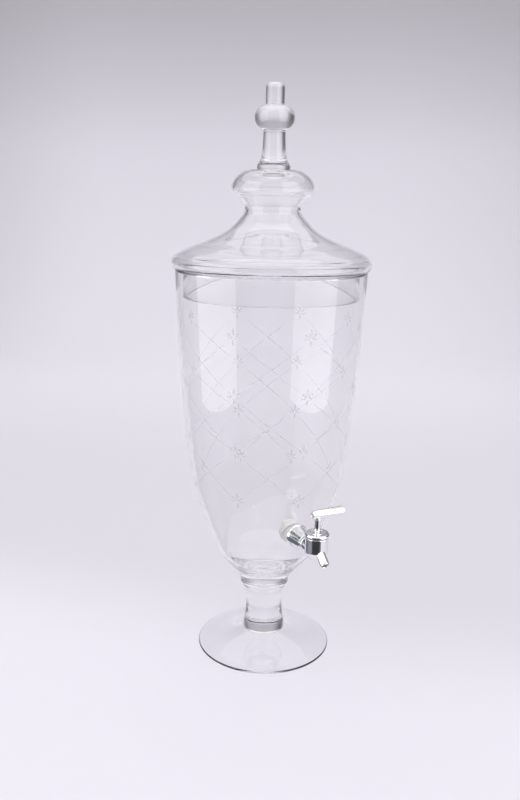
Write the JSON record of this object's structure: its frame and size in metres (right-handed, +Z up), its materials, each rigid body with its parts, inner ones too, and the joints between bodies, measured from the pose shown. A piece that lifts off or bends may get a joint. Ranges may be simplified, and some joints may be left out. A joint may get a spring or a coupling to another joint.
{
  "type": "beverage dispenser",
  "caption": "Tall footed glass urn with a lift-off domed glass lid and a chrome quarter-turn tap low on its front, for serving cold drinks.",
  "frame": {"origin": "centre of the foot's flat underside, on the table", "axes": "+Z up along the axis of the glass; the tap points along -Y; the long end of the closed handle bar points along +X"},
  "size_m": [0.2198, 0.2588, 0.6431],
  "materials": {
    "clear_glass": "polished clear glass with a faint cut pattern round the bowl",
    "chrome": "bright chrome plate",
    "stainless_steel": "machined, satin",
    "plug_brass": "turned",
    "clear_silicone": "soft translucent silicone",
    "ring_rubber": "matte black",
    "packing_plastic": "white bearing plastic"
  },
  "bodies": {
    "vessel": {"glass_foot": "clear_glass", "glass_stem": "clear_glass", "glass_collar": "clear_glass", "glass_bowl": "clear_glass", "gasket_outer": "clear_silicone", "gasket_inner": "clear_silicone", "shank_washer": "packing_plastic", "shank_nut": "packing_plastic", "tap_bell": "chrome", "tap_body": "chrome", "tap_spout": "chrome", "tap_bonnet": "chrome", "bonnet_packing": "packing_plastic"},
    "lid": {"lid_shell": "clear_glass", "lid_knob": "clear_glass", "lid_finial": "clear_glass"},
    "tap_valve": {"valve_plug": "plug_brass", "plug_ring_upper": "ring_rubber", "plug_ring_lower": "ring_rubber", "valve_stem": "chrome", "handle_bar": "chrome", "handle_screw": "stainless_steel"}
  },
  "joints": [
    {"name": "lid_lift", "type": "slide", "parent": "vessel", "child": "lid", "axis": [0, 0, 1], "range_m": [0, 0.12]},
    {"name": "tap_turn", "type": "hinge", "parent": "vessel", "child": "tap_valve", "pos_m": [0, -0.12566, 0.168], "axis": [0, 0, 1], "range_deg": [-90, 0]}
  ]
}
